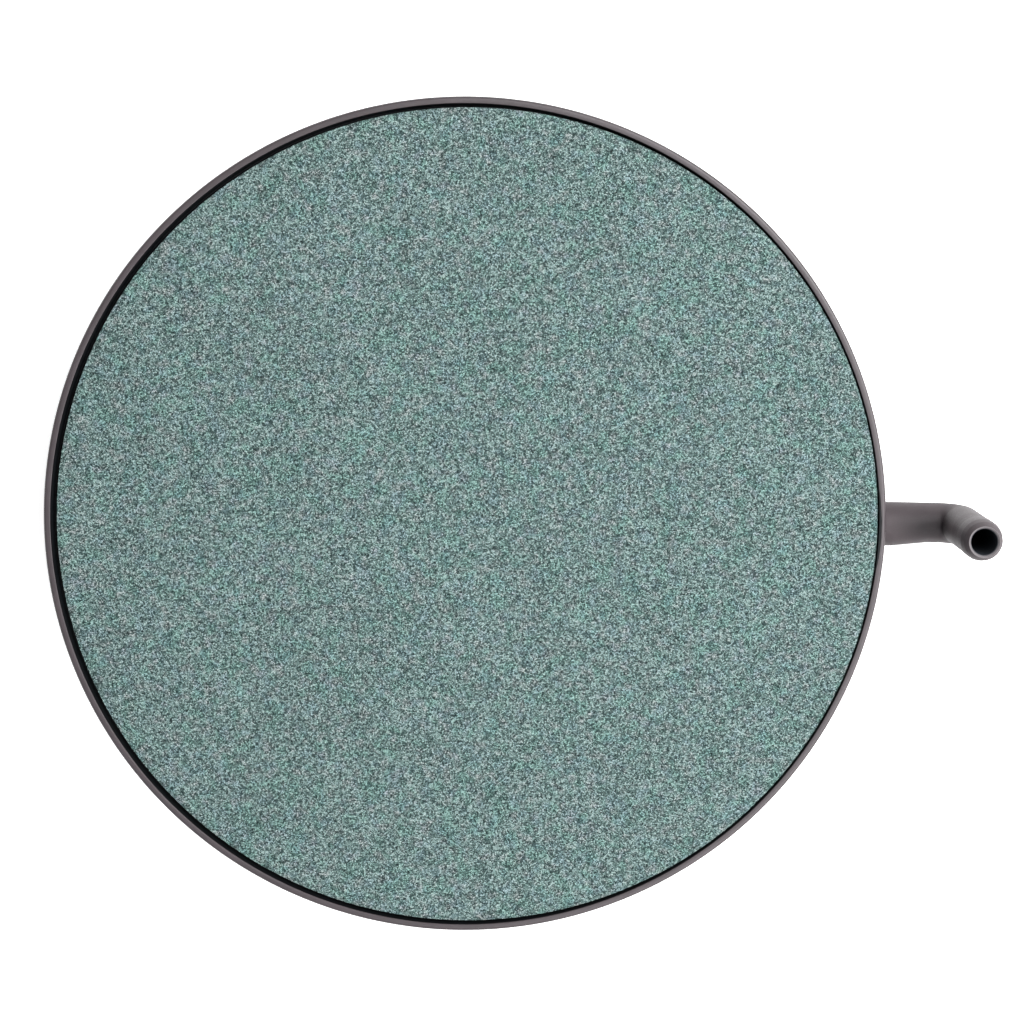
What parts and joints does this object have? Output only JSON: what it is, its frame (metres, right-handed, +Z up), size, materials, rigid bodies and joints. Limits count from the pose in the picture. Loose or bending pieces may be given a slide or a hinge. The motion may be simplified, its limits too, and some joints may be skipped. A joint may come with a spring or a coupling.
{
  "type": "air stone",
  "caption": "Round pond air stone: a green porous disc bonded in a shallow dark dish, fed through an upturned barbed hose tail at one side, on rubber feet.",
  "frame": {"origin": "on the disc's axis, at the plane that the rubber feet stand on", "axes": "+Z up, along the disc's axis and out of the porous face; +X from the disc's axis towards the hose tail"},
  "size_m": [0.2251, 0.2, 0.041],
  "materials": {
    "case_plastic": "satin",
    "porous_stone": "matte",
    "black_sealant": "satin",
    "elbow_plastic": "satin",
    "bond_cement": "gloss",
    "foot_rubber": "matte"
  },
  "bodies": {
    "root": {"case_dish": "case_plastic", "stone_disc": "porous_stone", "stone_sealant": "black_sealant", "hose_elbow": "elbow_plastic", "elbow_bond_bead": "bond_cement", "foot_middle": "foot_rubber", "foot_outer_1": "foot_rubber", "foot_outer_2": "foot_rubber", "foot_outer_3": "foot_rubber", "foot_outer_4": "foot_rubber"}
  },
  "joints": []
}
